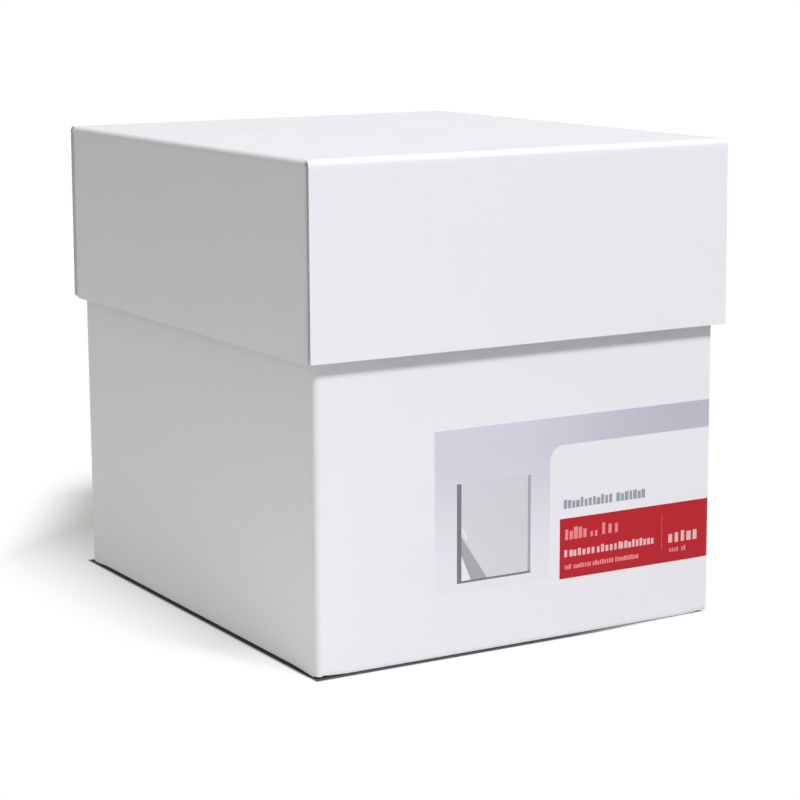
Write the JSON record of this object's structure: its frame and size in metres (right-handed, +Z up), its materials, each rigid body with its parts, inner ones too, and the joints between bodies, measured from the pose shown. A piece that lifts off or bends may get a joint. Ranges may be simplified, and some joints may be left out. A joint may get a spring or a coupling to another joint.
{
  "type": "lidded carton of continuous form paper",
  "caption": "White corrugated carton with a lift-off tray lid, holding a fan-folded web of continuous computer forms with feed holes.",
  "frame": {"origin": "middle of the underside of the closed carton, on the surface it stands on", "axes": "+Z up; the printed front faces -Y; +X to the right of someone who faces the printed front"},
  "size_m": [0.2624, 0.3024, 0.2675],
  "materials": {
    "board": "matt white liner, corrugated",
    "forms": "matt, uncoated",
    "ink_grey": "matt ink on white board",
    "ink_red": "matt ink on white board",
    "ink_title": "matt ink on white board",
    "ink_sheet": "matt ink on white board",
    "ink_shade": "matt ink on white board"
  },
  "bodies": {
    "carton": {"carton_base": "board", "form_stack": "forms", "grey_field": "ink_grey", "red_band": "ink_red", "title_bars": "ink_title", "picture_sheet": "ink_sheet", "picture_shade": "ink_shade"},
    "lid": {"carton_lid": "board"}
  },
  "joints": [
    {"name": "lid_lift", "type": "slide", "parent": "carton", "child": "lid", "axis": [0, 0, 1], "range_m": [0, 0.12]}
  ]
}
